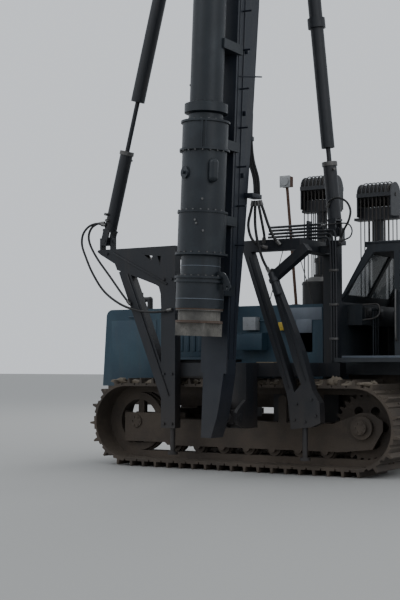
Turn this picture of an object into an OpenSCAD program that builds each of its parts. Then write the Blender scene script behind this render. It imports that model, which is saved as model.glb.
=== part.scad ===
/* [Tracks] */
// Distance between the idler's and the sprocket's axles
wheel_base = 3540; // [3400:10:3700]
// Distance between the two tracks' centre lines
track_gauge = 2280; // [2200:10:2400]
// Width of a track shoe
shoe_w = 900; // [800:10:940]
// Length of one chain link along the track
link_pitch = 203; // [190:1:220]
// Radius of the chain's pin line round the idler and the sprocket
chain_r = 470; // [450:1:490]
// Height of a shoe's cross lug
lug_h = 72; // [50:1:80]
// Thickness of a shoe's plate
shoe_t = 40; // [30:1:45]
// Radius of a bottom roller
roller_r = 100; // [85:1:105]
// Number of bottom rollers on each side
roller_count = 7; // [6:1:7]
// Distance between two bottom rollers
roller_pitch = 394; // [370:1:400]

/* [Tractor body] */
// Width of the engine hood
hood_w = 960; // [900:10:980]
// Height of the hood's top above the ground
hood_top = 2270; // [2150:10:2350]
// Height of the hood's lower edge
hood_bottom = 1100; // [1080:10:1180]
// Distance from the idler's axle to the hood's front
hood_nose = 1215; // [1100:5:1240]
// Backward lean of the hood's nose over its height
nose_lean = 65; // [0:5:90]
// Thickness of the sheet metal
sheet_t = 12; // [8:1:16]
// Width of the cab
cab_w = 1640; // [1560:10:1680]
// Height of the cab's roof
cab_top = 3060; // [2960:10:3120]
// Height of the cab's floor
cab_floor_z = 1500; // [1480:5:1540]
// Distance from the machine's middle to the cab's front
cab_front_x = 1200; // [1190:5:1240]
// Length of the cab at its floor
cab_len = 1660; // [1500:10:1750]
// Thickness of a cab wall
cab_wall = 45; // [35:1:60]
// Height of the skirt below the cab's floor
skirt_h = 210; // [150:5:220]

/* [Side frame] */
// Thickness of the near side frame
frame_t = 140; // [120:5:150]
// Gap between the near track and the side frame
frame_gap = 50; // [40:5:60]
// Height of the beams that cross the tracks
beam_h = 180; // [150:5:190]
// Gap between the tracks' lugs and the cross beams
beam_gap = 36; // [30:1:50]
// Height of the side frame's top
frame_top = 3060; // [2950:10:3150]
// Height of the strut feet's axes
strut_foot_z = 3180; // [3170:5:3260]

/* [Mast] */
// Height of the mast's foot axis
pivot_z = 750; // [720:5:800]
// Length of the mast above its foot axis
mast_len = 17300; // [16500:50:18000]
// Width of the mast
mast_w = 300; // [280:5:340]
// Depth of the mast's lower end
mast_d = 300; // [280:5:340]
// Depth of the mast where the struts meet it
mast_belly = 620; // [560:5:640]
// Backward lean at rest, in degrees
lean = 2.3; // [1:0.1:4]
// Height of the strut heads above the foot axis
strut_head = 11650; // [11000:50:12500]
// Distance of the front strut's lug from the mast's centre line
front_lug = 260; // [200:10:300]
// Radius of a strut's upper tube
strut_r = 98; // [90:1:105]
// Radius of a strut's lower barrel
barrel_r = 90; // [80:1:94]
// Radius of a strut's rod
rod_r = 32; // [25:1:36]
// Length of the front strut's rod outside its barrel
front_rod = 720; // [700:5:760]
// Length of the rear strut's rod outside its barrel
rear_rod = 200; // [180:5:260]

/* [Hammer] */
// Distance from the mast's front to the hammer's axis
hammer_reach = 380; // [370:5:420]
// Outer radius of the hammer's flanges
flange_r = 327; // [315:1:335]
// Radius of the ram's bore
bore_r = 165; // [150:1:170]
// Gap round the ram
ram_gap = 5; // [5:1:8]

/* [Hidden] */
$fn = 48;
seat_gap = 0.3;
run_gap = 0.05;
body_gap = 8;

// Track layout: the loop runs at chain_r, links inside and shoes outside it
shoe_in = 35;
link_in = 55;
axle_z = chain_r + shoe_in + shoe_t + lug_h;
track_top = 2 * axle_z;
loop_len = 2 * wheel_base + 2 * PI * chain_r;
shoe_count = round(loop_len / link_pitch);
shoe_pitch = loop_len / shoe_count;
idler_x = -wheel_base / 2;
sprocket_x = wheel_base / 2;
track_y = track_gauge / 2;
track_edge = track_y + shoe_w / 2;
track_inner = track_y - shoe_w / 2;
rail_in = 42;
rail_out = 98;
plate_in = rail_out + 22;
plate_out = plate_in + 40;
roller_pin = 52;
tread_r = chain_r - link_in - seat_gap;
roller_z = axle_z - tread_r + roller_r;
roller_mid = 40;

// Tractor
hood_x0 = idler_x - hood_nose;
hood_x1 = 800;
hood_round = 110;
hull_half = 500;
cab_x1 = cab_front_x + cab_len;
cab_rake_z = 2270;
cab_rake = 430;
roof_t = 70;

// Side frame: the beams cross over the tracks, the brackets stand outside the near track
beam_z0 = track_top + beam_gap;
beam_z1 = beam_z0 + beam_h;
frame_y1 = -(track_edge + frame_gap);
frame_y0 = frame_y1 - frame_t;
far_y = track_edge + 30;
front_x = [-1030, -800];
mid_x = [120, 420];
rear_x = [900, 1120];
riser_y0 = hood_w / 2 + 40;
riser_y1 = track_inner - 30;
sill_z = [640, 815];
front_foot = [-1990, (frame_y0 + frame_y1) / 2, strut_foot_z];
rear_foot = [1330, -1150, strut_foot_z];

// Mast, in its own frame with the foot axis at its origin
pivot_x = 270;
pivot_y = frame_y0 - 320;
mast_back = pivot_y - 170;
mast_front = mast_back - mast_d;
hammer_y = mast_front - hammer_reach;
foot_len = 250;
lug_y = mast_back + mast_belly - mast_d + 150;
rear_lug = 20;
lug_gap = 72;
eye_t = 40;
helmet_z0 = 1030;
rail_w = 40;

// Middle of the whole part's box, which is its origin
x_lo = hood_x0;
x_hi = max(cab_x1, sprocket_x + axle_z);
y_lo = hammer_y - flange_r;
x_mid = (x_lo + x_hi) / 2;
y_mid = (y_lo + far_y) / 2;

// Roll about X that a strut's fork takes so that its strut can point from a to b
function strut_roll(a, b) = atan2(a[1] - b[1], b[2] - a[2]);

function bar(p, q, w) =
    let (d = q - p, n = [-d[1], d[0]] / norm(d) * w / 2)
    [p + n, q + n, q - n, p - n];

// Point on the chain's loop at the distance s, with its tangent's angle
function loop_at(s) =
    let (a = PI * chain_r)
    s < wheel_base ? [idler_x + s, axle_z - chain_r, 0] :
    s < wheel_base + a ?
        let (t = (s - wheel_base) / chain_r * 180 / PI)
        [sprocket_x + chain_r * sin(t), axle_z - chain_r * cos(t), t] :
    s < 2 * wheel_base + a ? [sprocket_x - (s - wheel_base - a), axle_z + chain_r, 180] :
        let (t = 180 + (s - 2 * wheel_base - a) / chain_r * 180 / PI)
        [idler_x + chain_r * sin(t), axle_z - chain_r * cos(t), t];

// One shoe's outline along the loop: u runs along it and v away from it
function shoe_points() =
    let (p = shoe_pitch / 2, v0 = shoe_in, v1 = shoe_in + shoe_t, v2 = v1 + lug_h)
    [[-p, v0 + 12], [-p + 7, v0 + 12], [-p + 12, v1], [-22, v1], [-12, v2], [12, v2], [22, v1], [p - 12, v1],
        [p - 7, v0 + 12]];

function loop_outline() = [
    for (i = [0:shoe_count - 1])
        let (f = loop_at((i + 0.5) * shoe_pitch), c = cos(f[2]), s = sin(f[2]))
        for (q = shoe_points())
            [f[0] + q[0] * c + q[1] * s, f[1] + q[0] * s - q[1] * c]
];

module on_machine() {
    translate([-x_mid, -y_mid, 0]) children();
}

module on_mast() {
    on_machine() translate([pivot_x, 0, pivot_z]) rotate([0, lean, 0]) children();
}

module block(x, y, z) {
    translate([x[0], y[0], z[0]]) cube([x[1] - x[0], y[1] - y[0], z[1] - z[0]]);
}

// A plate across the machine's width, drawn in X and Z
module plate_xz(y0, y1) {
    translate([0, y1, 0]) rotate([90, 0, 0]) linear_extrude(y1 - y0) children();
}

// A plate along the machine's length, drawn in Y and Z
module plate_yz(x0, x1) {
    translate([x0, 0, 0]) rotate([90, 0, 90]) linear_extrude(x1 - x0) children();
}

module shaft_y(p, r, y0, y1) {
    translate([p[0], y1, p[1]]) rotate([90, 0, 0]) cylinder(r = r, h = y1 - y0);
}

module shaft_x(p, r, x0, x1) {
    translate([x0, p[0], p[1]]) rotate([0, 90, 0]) cylinder(r = r, h = x1 - x0);
}

module both_sides() {
    children();
    mirror([0, 1, 0]) children();
}

// Turns +Z along the line from a to b and moves there
module along(a, b) {
    d = b - a;
    translate(a) rotate([0, acos(d[2] / norm(d)), atan2(d[1], d[0])]) children();
}

// Turns +Z along a strut from a to b: the fork's roll about X, then the strut's pitch in its fork
module on_strut(a, b) {
    translate(a) rotate([strut_roll(a, b), 0, 0]) rotate([0, asin((b[0] - a[0]) / norm(b - a)), 0]) children();
}

module loop_area(r) {
    translate([idler_x, axle_z]) circle(r);
    translate([sprocket_x, axle_z]) circle(r);
    translate([idler_x, axle_z - r]) square([wheel_base, 2 * r]);
}

module track() {
    plate_xz(-shoe_w / 2, shoe_w / 2)
        difference() {
            polygon(loop_outline());
            loop_area(chain_r + shoe_in);
        }
    for (y = [-rail_out, rail_in])
        plate_xz(y, y + rail_out - rail_in)
            difference() {
                loop_area(chain_r + shoe_in);
                loop_area(chain_r - link_in);
            }
}

module track_left() {
    color("#5b5248") on_machine() translate([0, -track_y, 0]) track();
}

module track_right() {
    color("#5b5248") on_machine() translate([0, track_y, 0]) track();
}

axle_r = 95;
rim_in = tread_r - 105;

module idler() {
    plate_xz(-rail_out, rail_out)
        difference() {
            circle(tread_r);
            circle(rim_in);
        }
    plate_xz(-35, 35)
        difference() {
            circle(tread_r + 25);
            circle(rim_in);
        }
    for (a = [90:72:378])
        plate_xz(-rail_in, rail_in) rotate(a) translate([70, -50]) square([rim_in - 60, 100]);
    shaft_y([0, 0], 125, -rail_out, rail_out);
    shaft_y([0, 0], axle_r, -plate_out, plate_out);
}

module sprocket() {
    teeth = 27;
    plate_xz(-35, 35)
        difference() {
            union() {
                circle(chain_r - 70);
                for (i = [0:teeth - 1])
                    rotate(i * 360 / teeth)
                        polygon([[chain_r - 80, -34], [chain_r - 12, -12], [chain_r - 12, 12], [chain_r - 80, 34]]);
            }
            for (a = [0:60:300]) rotate(a) translate([235, 0]) circle(62);
        }
    shaft_y([0, 0], 150, -plate_in, plate_in);
}

module track_wheels() {
    color("#5a4f45") on_machine()
        for (y = [-track_y, track_y]) {
            translate([idler_x, y, axle_z]) idler();
            translate([sprocket_x, y, axle_z]) sprocket();
        }
}

roller_xs = [for (i = [0:roller_count - 1]) roller_mid + (i - (roller_count - 1) / 2) * roller_pitch];
carrier_xs = [-600, 600];
carrier_r = 75;

module roller(r) {
    shaft_y([0, 0], r, -rail_out, -rail_in);
    shaft_y([0, 0], r, rail_in, rail_out);
    shaft_y([0, 0], r + 18, -rail_in + 4, rail_in - 4);
    shaft_y([0, 0], roller_pin, -plate_out, plate_out);
}

module rollers() {
    color("#54493f") on_machine()
        for (y = [-track_y, track_y]) {
            for (x = roller_xs) translate([x, y, roller_z]) roller(roller_r);
            for (x = carrier_xs)
                translate([x, y, axle_z + tread_r - carrier_r]) roller(carrier_r);
        }
}

module track_frame_side() {
    polygon([[roller_xs[0] - 100, roller_z - 10], [sprocket_x - 330, roller_z - 10],
        [sprocket_x + 126, axle_z - 275], [sprocket_x + 270, axle_z - 37], [sprocket_x + 270, axle_z + 90],
        [sprocket_x + 110, axle_z + 190], [sprocket_x - 40, axle_z + 190], [sprocket_x - 420, axle_z + 40],
        [idler_x + 650, axle_z + 40], [idler_x + 650, axle_z + 123], [idler_x - 205, axle_z + 123],
        [idler_x - 205, axle_z - 287], [roller_xs[0] - 140, axle_z - 287]]);
}

module track_frames() {
    color("#5f554a") on_machine() both_sides() translate([0, -track_y, 0]) {
        for (y = [-plate_out, plate_in])
            plate_xz(y, y + plate_out - plate_in)
                difference() {
                    track_frame_side();
                    translate([idler_x, axle_z]) circle(axle_r + seat_gap);
                    for (x = roller_xs) translate([x, roller_z]) circle(roller_pin + seat_gap);
                }
        block([roller_xs[0] - 40, sprocket_x - 560], [-plate_in, plate_in],
            [roller_z + roller_r + 40, axle_z + 40]);
        for (x = carrier_xs, y = [-plate_out, plate_in])
            plate_xz(y, y + plate_out - plate_in)
                difference() {
                    union() {
                        translate([x - 60, axle_z + 40]) square([120, tread_r - carrier_r - 40]);
                        translate([x, axle_z + tread_r - carrier_r]) circle(roller_pin + 10);
                    }
                    translate([x, axle_z + tread_r - carrier_r]) circle(roller_pin + seat_gap);
                }
        shaft_y([sprocket_x, axle_z], 150, -rail_out - 130, -plate_out);
        shaft_y([sprocket_x, axle_z], 90, -rail_out - 160, -rail_out - 130);
        shaft_y([sprocket_x, axle_z], 150, plate_out, track_y - hull_half - seat_gap);
    }
}

rail_y0 = 400;
rail_y1 = 490;
rail_z0 = 820;
rail_x0 = hood_x0 + 110;
cross_y = track_y - plate_out - seat_gap;

module hull() {
    color("#4c463e") on_machine() {
        plate_xz(-hull_half, hull_half)
            difference() {
                polygon([[620, 640], [760, 520], [1500, 430], [2250, 470], [2330, 560],
                    [2330, cab_floor_z - seat_gap], [cab_front_x, cab_floor_z - seat_gap], [cab_front_x, 1180],
                    [hood_x1 + seat_gap, 1180], [hood_x1 + seat_gap, hood_bottom - seat_gap],
                    [620, hood_bottom - seat_gap]]);
                translate([rear_x[0] - seat_gap, sill_z[0] - seat_gap])
                    square([rear_x[1] - rear_x[0] + 2 * seat_gap, sill_z[1] - sill_z[0] + 2 * seat_gap]);
            }
        for (y = [-rail_y1, rail_y0])
            block([rail_x0, 620], [y, y + rail_y1 - rail_y0], [rail_z0, hood_bottom - seat_gap]);
        block([rail_x0, rail_x0 + 100], [-rail_y0, rail_y0], [rail_z0, hood_bottom - 40]);
        block([-1500, -1250], [-rail_y1, rail_y1], [700, rail_z0]);
        block([-1500, -1250], [-cross_y, cross_y], [700, 790]);
        block([2330, 2450], [-60, 60], [560, 640]);
    }
}

engine_x = [-1880, -420];

module engine() {
    color("#3d4247") on_machine()
        block(engine_x, [-320, 320], [rail_z0 + seat_gap, hood_top - 290]);
}

grille_half = hood_w / 2 - 90;
grille_z = [hood_bottom + 80, hood_top - 200];

module hood_area(t) {
    r = hood_round - t;
    x0 = hood_x0 + t;
    x1 = x0 + nose_lean;
    z1 = hood_top - t;
    translate([x1 + r, z1 - r]) circle(r);
    polygon([[x0, hood_bottom], [hood_x1 - t, hood_bottom], [hood_x1 - t, z1], [x1 + r, z1], [x1, z1 - r]]);
}

module hood() {
    color("#3f5f78") on_machine()
        difference() {
            plate_xz(-hood_w / 2, hood_w / 2) hood_area(0);
            plate_xz(-hood_w / 2 + sheet_t, hood_w / 2 - sheet_t)
                difference() {
                    hood_area(sheet_t);
                    translate([hood_x0, hood_bottom - 1]) square([60, 1]);
                }
            block([hood_x0 - 1, hood_x1 + 1], [-hood_w / 2 + sheet_t, hood_w / 2 - sheet_t],
                [hood_bottom - 1, hood_bottom + 40]);
            block([hood_x0 - 1, hood_x0 + nose_lean + 60], [-grille_half, grille_half], grille_z);
            block([380, 640], [-hood_w, hood_w], [1600, 2030]);
            block([-1650, -500], [-hood_w, hood_w], [hood_bottom - 1, 1500]);
        }
}

grille_bars = 15;

module grille() {
    half = grille_half - seat_gap;
    z0 = grille_z[0] - hood_bottom + 5;
    z1 = grille_z[1] - hood_bottom - 5;
    color("#30404c") on_machine()
        translate([hood_x0, 0, hood_bottom])
            rotate([0, atan(nose_lean / (hood_top - hood_round - hood_bottom)), 0]) {
                for (y = [-half, half - 25]) block([2, 34], [y, y + 25], [z0, z1]);
                for (i = [0:grille_bars - 1])
                    let (z = z0 + 10 + i * (z1 - z0 - 40) / (grille_bars - 1))
                    block([8, 28], [-half + 25, half - 25], [z, z + 20]);
            }
}

module exhaust() {
    x = hood_x0 + 555;
    z = hood_top + 175;
    color("#3a3734") on_machine() {
        translate([x, 0, hood_top + seat_gap]) cylinder(r = 80, h = 14);
        translate([x, 0, hood_top + 14]) cylinder(r = 45, h = 161);
        translate([x, 0, z]) sphere(45);
        translate([x, 0, z]) rotate([0, -90, 0]) cylinder(r = 40, h = 175);
        translate([x - 175, 0, z]) sphere(40);
        translate([x - 175, 0, z]) cylinder(r = 40, h = 110);
    }
}

module air_cleaner() {
    color("#33383d") on_machine() {
        translate([555, -100, hood_top + seat_gap]) cylinder(r = 235, h = 330);
        translate([555, -100, hood_top + 290]) cylinder(r = 243, h = 24);
        translate([555, -100, hood_top + 330]) cylinder(r1 = 235, r2 = 130, h = 70);
        translate([555, -100, hood_top + 400]) cylinder(r = 60, h = 40);
    }
}

module fenders() {
    color("#3d3a35") on_machine() both_sides() {
        block([rear_x[1] + 330, cab_x1 - 60], [-track_edge + 120, -cab_w / 2 - seat_gap],
            [cab_floor_z, cab_floor_z + 12]);
        block([rear_x[1] + 330, cab_x1 - 60], [-track_edge + 120, -track_edge + 132],
            [cab_floor_z - 40, cab_floor_z]);
    }
}

module cab_floor() {
    color("#2b3036") on_machine()
        block([cab_front_x + cab_wall, cab_x1 - cab_wall], [-cab_w / 2 + cab_wall, cab_w / 2 - cab_wall],
            [cab_floor_z, cab_floor_z + 40]);
}

roof_x0 = cab_front_x + cab_rake;
front_pane_w = cab_w / 2 - cab_wall - 100;
front_pane_ys = [-cab_w / 2 + cab_wall + 60, 40];
front_pane_z = [cab_rake_z + 90, cab_top - roof_t - 70];

module cab_front() {
    color("#2a323a") on_machine() {
        block([cab_front_x, cab_front_x + cab_wall], [-cab_w / 2 + cab_wall, cab_w / 2 - cab_wall],
            [cab_floor_z, cab_rake_z]);
        for (y = [-cab_w / 2 + cab_wall, hull_half + seat_gap])
            block([cab_front_x, cab_front_x + cab_wall], [y, y + cab_w / 2 - cab_wall - hull_half - seat_gap],
                [cab_floor_z - skirt_h, cab_floor_z]);
        difference() {
            plate_xz(-cab_w / 2 + cab_wall, cab_w / 2 - cab_wall)
                polygon([[cab_front_x, cab_rake_z], [cab_front_x + cab_wall, cab_rake_z],
                    [roof_x0 + cab_wall, cab_top - roof_t], [roof_x0, cab_top - roof_t]]);
            for (y = front_pane_ys)
                block([cab_front_x - 10, roof_x0 + 80], [y, y + front_pane_w], front_pane_z);
        }
    }
}

module cab_side_area() {
    z0 = cab_floor_z - skirt_h;
    polygon([[cab_front_x, z0], [cab_x1, z0], [cab_x1, cab_top - roof_t], [roof_x0, cab_top - roof_t],
        [cab_front_x, cab_rake_z]]);
}

door_x = [1245, 2010];
door_z = [cab_floor_z + 40, cab_top - roof_t - 70];

// Door hinge outside the far wall: knuckles on the door and, above and below them, on the wall
hinge_x = door_x[1] - 6;
hinge_y = cab_w / 2 + 15;
hinge_zs = [cab_floor_z + 330, cab_floor_z + 1130];

module hinge_knuckle(x0, x1, z0, z1) {
    translate([hinge_x, hinge_y, z0]) cylinder(r = 15, h = z1 - z0);
    block([x0, x1], [cab_w / 2 - 1, hinge_y], [z0, z1]);
}

module hinge_pin(g) {
    for (z = hinge_zs) translate([hinge_x, hinge_y, z - 90]) cylinder(r = 7 + g, h = 180);
}

module door_area(g) {
    polygon([[door_x[0] + g, door_z[0] + g], [door_x[1] - g, door_z[0] + g], [door_x[1] - g, door_z[1] - g],
        [roof_x0 + 90 + g, door_z[1] - g], [door_x[0] + g, cab_rake_z + 30 - g]]);
}

pane_z = [cab_rake_z - 70, cab_top - roof_t - 80];

module side_window_area(g) {
    translate([door_x[1] + 75 + g, pane_z[0] + g])
        square([cab_x1 - door_x[1] - 190 - 2 * g, pane_z[1] - pane_z[0] - 2 * g]);
}

module cab_sides() {
    color("#2a323a") on_machine()
        for (y = [-cab_w / 2, cab_w / 2 - cab_wall])
            plate_xz(y, y + cab_wall)
                difference() {
                    cab_side_area();
                    door_area(0);
                    side_window_area(0);
                }
    color("#2a323a") on_machine()
        difference() {
            for (z = hinge_zs, s = [-75, 35]) hinge_knuckle(hinge_x, door_x[1] + 60, z + s, z + s + 40);
            hinge_pin(run_gap);
        }
}

module rear_window_area(g) {
    translate([-cab_w / 2 + 200 + g, pane_z[0] + g])
        square([cab_w - 400 - 2 * g, pane_z[1] - pane_z[0] - 2 * g]);
}

module cab_rear() {
    color("#2a323a") on_machine()
        plate_yz(cab_x1 - cab_wall, cab_x1)
            difference() {
                translate([-cab_w / 2 + cab_wall, cab_floor_z - skirt_h])
                    square([cab_w - 2 * cab_wall, cab_top - roof_t - cab_floor_z + skirt_h]);
                rear_window_area(0);
            }
}

module cab_roof() {
    color("#31404b") on_machine()
        difference() {
            block([roof_x0 - 30, cab_x1], [-cab_w / 2, cab_w / 2], [cab_top - roof_t, cab_top]);
            block([roof_x0 + 40, cab_x1 - cab_wall], [-cab_w / 2 + cab_wall, cab_w / 2 - cab_wall],
                [cab_top - roof_t - 1, cab_top - 25]);
        }
}

module cab_door() {
    color("#2a323a") on_machine()
        plate_xz(cab_w / 2 - cab_wall, cab_w / 2)
            difference() {
                door_area(6);
                intersection() {
                    door_area(70);
                    translate([door_x[0], cab_rake_z - 60]) square(1000);
                }
            }
    color("#2a323a") on_machine() {
        for (z = hinge_zs) hinge_knuckle(hinge_x - 66, hinge_x, z - 34, z + 34);
        hinge_pin(0);
    }
}

module cab_glass() {
    glass_t = 8;
    rake_h = cab_top - roof_t - cab_rake_z;
    color("#8fa3ad", 0.4) on_machine() {
        for (y = [-cab_w / 2 + cab_wall / 2, cab_w / 2 - cab_wall / 2])
            plate_xz(y - glass_t / 2, y + glass_t / 2) side_window_area(seat_gap);
        plate_yz(cab_x1 - cab_wall / 2 - glass_t / 2, cab_x1 - cab_wall / 2 + glass_t / 2)
            rear_window_area(seat_gap);
        for (y = front_pane_ys)
            plate_xz(y + seat_gap, y + front_pane_w - seat_gap)
                polygon([for (q = [[0, 0], [1, 0], [1, 1], [0, 1]])
                    let (z = front_pane_z[q[1]] + (1 - 2 * q[1]) * seat_gap)
                    [cab_front_x + 18 + q[0] * glass_t + (z - cab_rake_z) / rake_h * cab_rake, z]]);
    }
}

module seat() {
    color("#222426") on_machine() {
        block([1950, 2120], [-180, 180], [cab_floor_z + 40, cab_floor_z + 380]);
        block([1850, 2330], [-250, 250], [cab_floor_z + 380, cab_floor_z + 500]);
        plate_xz(-240, 240)
            polygon([[2250, cab_floor_z + 500], [2350, cab_floor_z + 500], [2470, cab_floor_z + 1080],
                [2380, cab_floor_z + 1090]]);
    }
}

module levers() {
    color("#5c6064") on_machine() {
        block([cab_front_x + cab_wall + seat_gap, cab_front_x + 260], [-620, 620],
            [cab_rake_z - 310, cab_rake_z - 30]);
        for (y = [-480, -400, -320, 300, 380])
            translate([1560, y, cab_floor_z + 40]) {
                cylinder(r = 12, h = 640, $fn = 16);
                translate([0, 0, 640]) sphere(26, $fn = 16);
            }
    }
}

// A beam that dips between the tracks and crosses over both, or over the near one only
module hat_area(far) {
    polygon([[frame_y1, beam_z0], [-riser_y1, beam_z0], [-riser_y1, sill_z[1]],
        [-riser_y0, sill_z[1]], [-riser_y0, beam_z1], [frame_y1, beam_z1]]);
    if (far)
        polygon([[far_y, beam_z0], [riser_y1, beam_z0], [riser_y1, sill_z[1]], [riser_y0, sill_z[1]],
            [riser_y0, beam_z1], [far_y, beam_z1]]);
}

module base_frame() {
    color("#23272c") on_machine() {
        for (x = [front_x, mid_x, rear_x])
            plate_yz(x[0], x[1]) hat_area(true);
        for (x = [front_x, mid_x, rear_x])
            block(x, [-riser_y1, riser_y1], sill_z);
        block([front_x[1], mid_x[0]], [frame_y1, frame_y1 + 140], [beam_z0, beam_z1]);
        block([mid_x[1], rear_x[0]], [frame_y1, frame_y1 + 140], [beam_z0, beam_z1]);
        block([front_x[1], mid_x[0]], [900, 1100], [beam_z0, beam_z1]);
        block([mid_x[1], rear_x[0]], [900, 1100], [beam_z0, beam_z1]);
        block([rear_x[1], rear_foot[0] + 90], [rear_foot[1] - 90, rear_foot[1] + 90], [beam_z0, beam_z1]);
        for (x = [front_x, rear_x]) {
            block(x, [-riser_y1, -riser_y0], [beam_z1, frame_top]);
            block(x, [frame_y1, -riser_y1], [frame_top - 150, frame_top]);
        }
    }
}

module foot_ears(p, w) {
    for (s = [-1, 1])
        translate([p[0] + s * (w / 2 + 15) - 15, p[1] - 55, frame_top])
            cube([30, 110, p[2] - frame_top + 50]);
}

module front_bracket() {
    colx = front_x;
    foot_z = 560;
    throat = [-1520, 2675];
    color("#22262b") on_machine()
        difference() {
            union() {
                plate_xz(frame_y0, frame_y1)
                    difference() {
                        union() {
                            polygon([[-2110, frame_top], [-2130, frame_top - 25], [-2070, 2990], [-1820, 2850],
                                [-1780, 2760], throat, [-1120, 2530], [-1070, 2500], [-1040, 2400],
                                [colx[0], 2190], [colx[0] + 60, 2190], [colx[0] + 60, frame_top]]);
                            polygon(bar([-1667, 2760], [-908, 900], 177));
                            translate([colx[0], foot_z]) square([colx[1] - colx[0], frame_top - foot_z]);
                        }
                        polygon([[-1318, 2955], [-1200, 2871], [-1175, 2935]]);
                        polygon([[-1095, 2930], [-1050, 2790], [-1035, 2925]]);
                        translate([-3000, 0]) square([6000, foot_z]);
                    }
                foot_ears(front_foot, 150);
            }
            shaft_x([front_foot[1], front_foot[2]], 30 + run_gap, -2200, -1700);
            jack_bore(jack_front_x);
        }
}

jack_front_x = -880;
jack_rear_x = 1145;
jack_r = 35;

module jack_bore(x) {
    translate([x, (frame_y0 + frame_y1) / 2, 0]) cylinder(r = jack_r + run_gap, h = 1000);
}

module rear_bracket() {
    color("#22262b") on_machine()
        difference() {
            plate_xz(frame_y0, frame_y1) {
                polygon(bar([299, frame_top - 40], [993, 1000], 111));
                polygon([[650, 2640], [716, 2389], [1025, 1433], [1083, 1277], [1127, 1173], [1386, 943],
                    [1286, 1096], [1129, 1616], [761, 2494], [702, 2682]]);
                polygon(bar([690, 2560], [1200, 2940], 115));
                translate([250, frame_top - 150]) square([rear_x[1] - 250, 150]);
                polygon([[906, 1100], [934, 961], [977, 597], [1269, 631], [1399, 686], [1386, 943], [1286, 1096],
                    [1127, 1173], [1023, 1067]]);
            }
            jack_bore(jack_rear_x);
        }
}

module jack(x) {
    y = (frame_y0 + frame_y1) / 2;
    translate([x, y, 240]) cylinder(r = jack_r, h = 700);
    translate([x, y, 200]) cylinder(r = 68, h = 40);
}

module front_jack() {
    color("#4a4038") on_machine() jack(jack_front_x);
}

module rear_jack() {
    color("#4a4038") on_machine() jack(jack_rear_x);
}

module strut_post() {
    p = rear_foot;
    color("#22262b") on_machine()
        difference() {
            union() {
                block([p[0] - 45, p[0] + 45], [p[1] - 60, p[1] + 60], [beam_z1, frame_top - 60]);
                block([p[0] - 110, p[0] + 110], [p[1] - 80, p[1] + 80], [frame_top - 60, frame_top]);
                block([rear_x[1], p[0] - 45], [p[1] - 40, p[1] + 40], [frame_top - 150, frame_top - 60]);
                foot_ears(p, 150);
            }
            shaft_x([p[1], p[2]], 30 + run_gap, p[0] - 200, p[0] + 200);
        }
}

ear_w = 50;

module foot_bracket() {
    color("#23272c") on_machine()
        difference() {
            union() {
                block(mid_x, [pivot_y + 140, frame_y1 - seat_gap], [beam_z0, beam_z1]);
                block(mid_x, [pivot_y + 140, frame_y1 - 20], [pivot_z - 150, beam_z0]);
                for (x = [mid_x[0], mid_x[1] - ear_w])
                    plate_yz(x, x + ear_w)
                        polygon([[pivot_y + 140, pivot_z - 150], [pivot_y - 60, pivot_z - 90],
                            [pivot_y - 100, pivot_z - 40], [pivot_y - 100, pivot_z + 60],
                            [pivot_y - 60, pivot_z + 100], [pivot_y + 140, pivot_z + 220]]);
            }
            shaft_x([pivot_y, pivot_z], 50 + run_gap, mid_x[0] - 1, mid_x[1] + 1);
        }
}

cross_half = (mid_x[1] - mid_x[0]) / 2 - ear_w - 8;

module mast_cross() {
    color("#3a3f45") on_machine() {
        block([pivot_x - cross_half, pivot_x + cross_half], [pivot_y - 90, pivot_y + 90],
            [pivot_z - 90, pivot_z + 90]);
        shaft_x([pivot_y, pivot_z], 50, mid_x[0] - 12, mid_x[1] + 12);
        shaft_y([pivot_x, pivot_z], 70, mast_back + seat_gap, pivot_y - 90);
        shaft_y([pivot_x, pivot_z], 50, mast_back - 200, mast_back + seat_gap);
    }
}

// Rear face of the mast against the height above its foot axis: [height, share of the belly's depth]
mast_swell = [[1150, 0], [2450, 0.41], [4050, 0.75], [5350, 0.94], [6500, 1], [strut_head + 700, 1],
    [mast_len - 2200, 0.2], [mast_len, 0]];

rail_z = 570;

module mast() {
    grow = mast_belly - mast_d;
    color("#1d232b") on_mast()
        difference() {
            plate_yz(-mast_w / 2, mast_w / 2)
                polygon(concat([[mast_front, mast_len], [mast_front, -foot_len], [mast_back, -foot_len]],
                    [for (s = mast_swell) [mast_back + s[1] * grow, s[0]]]));
            plate_yz(-mast_w / 2 + 16, mast_w / 2 - 16)
                polygon(concat(
                    [[mast_front + 16, mast_len - 40], [mast_front + 16, rail_z], [mast_back - 16, rail_z]],
                    [for (s = mast_swell) [mast_back - 16 + s[1] * grow, min(s[0], mast_len - 40)]]));
            plate_xz(mast_front - 1, mast_back + 1)
                polygon([[mast_w / 2 - 155, -foot_len - 1], [mast_w / 2 - 75, 20], [mast_w / 2 - 45, 200],
                    [mast_w / 2 - 20, 400], [mast_w / 2, 560], [mast_w / 2 + 1, 560],
                    [mast_w / 2 + 1, -foot_len - 1]]);
            shaft_y([0, 0], 50 + run_gap, mast_back - 201, mast_back + 1);
        }
}

module mast_rails() {
    color("#272d35") on_mast()
        for (x = [-mast_w / 2 - rail_w, mast_w / 2])
            block([x, x + rail_w], [mast_front, mast_front + rail_w], [rail_z, mast_len - 100]);
}

module mast_pegs() {
    color("#2b3036") on_mast()
        for (i = [0:26])
            shaft_x([mast_front + 190, 2200 + i * 500], 12, mast_w / 2, mast_w / 2 + 130, $fn = 12);
}

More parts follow.
